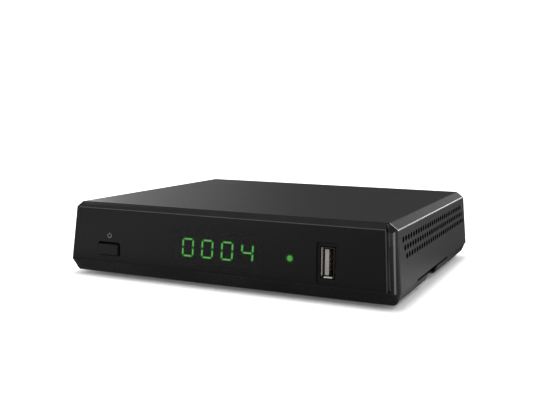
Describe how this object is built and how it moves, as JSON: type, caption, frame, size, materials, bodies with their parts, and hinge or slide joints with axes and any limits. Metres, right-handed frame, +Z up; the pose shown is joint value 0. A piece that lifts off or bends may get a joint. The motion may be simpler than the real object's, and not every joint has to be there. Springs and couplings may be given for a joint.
{
  "type": "satellite tv receiver",
  "caption": "Flat desktop receiver: chamfered steel cover with side vents, dark lens front with numeric display, push button and upright socket, side card slot, rear sockets.",
  "frame": {"origin": "middle of the whole set, on the surface that the feet stand on", "axes": "+X to the right seen from the front, +Y to the rear, +Z up"},
  "size_m": [0.1664, 0.1458, 0.0362],
  "materials": {
    "cover_paint": "satin black paint, fine cross brushing",
    "chassis_paint": "satin black paint",
    "bezel_plastic": "fine satin",
    "lens_plate": "gloss, back printed",
    "button_plastic": "satin gloss",
    "black_plastic": "moulded",
    "circuit_board": "solder mask",
    "screw_steel": "zinc plated",
    "display_body": "moulded",
    "display_light": "lit segments",
    "lamp_green": "lit lens",
    "eye_lens": "dark filter",
    "socket_steel": "nickel plated sheet",
    "tongue_plastic": "moulded",
    "contact_gold": "gold plated",
    "chip_plastic": "moulded, fine",
    "sink_aluminium": "extruded",
    "can_sleeve": "shrink sleeve",
    "coil_ferrite": "sintered",
    "tin_plate": "tinned",
    "socket_brass": "plated",
    "foot_rubber": "matte"
  },
  "bodies": {
    "housing": {"top_cover": "cover_paint", "bottom_chassis": "chassis_paint", "front_bezel": "bezel_plastic", "facia_panel": "lens_plate", "tact_switch": "black_plastic", "front_board": "circuit_board", "front_board_screws": "screw_steel", "led_display": "display_body", "display_segments": "display_light", "status_led": "lamp_green", "ir_receiver": "eye_lens", "board_link": "black_plastic", "main_board": "circuit_board", "main_board_screws": "screw_steel", "usb_shell": "socket_steel", "usb_tongue": "tongue_plastic", "usb_contacts": "contact_gold", "processor": "chip_plastic", "heat_sink": "sink_aluminium", "memory_chips": "chip_plastic", "capacitors": "can_sleeve", "coils": "coil_ferrite", "crystal": "tin_plate", "card_reader": "black_plastic", "card_contacts": "contact_gold", "tuner_can": "tin_plate", "lnb_connector": "socket_steel", "lnb_nut": "screw_steel", "scart_socket": "black_plastic", "hdmi_shell": "socket_steel", "hdmi_tongue": "black_plastic", "audio_socket": "black_plastic", "audio_sleeve": "socket_brass", "power_inlet": "black_plastic", "power_inlet_pin": "screw_steel", "rubber_feet": "foot_rubber", "cover_screws": "screw_steel"},
    "button": {"power_button": "button_plastic"},
    "plunger": {"switch_plunger": "black_plastic"}
  },
  "joints": [
    {"name": "power_press", "type": "slide", "parent": "housing", "child": "button", "axis": [0, 1, 0], "range_m": [0, 0.0003], "stiffness_N_per_m": 1200, "springref_m": -0.0008},
    {"name": "plunger_press", "type": "slide", "parent": "housing", "child": "plunger", "axis": [0, 1, 0], "range_m": [0, 0.0003]}
  ],
  "couplings": [
    {"joint": "plunger_press", "follows": "power_press", "ratio": 1}
  ]
}
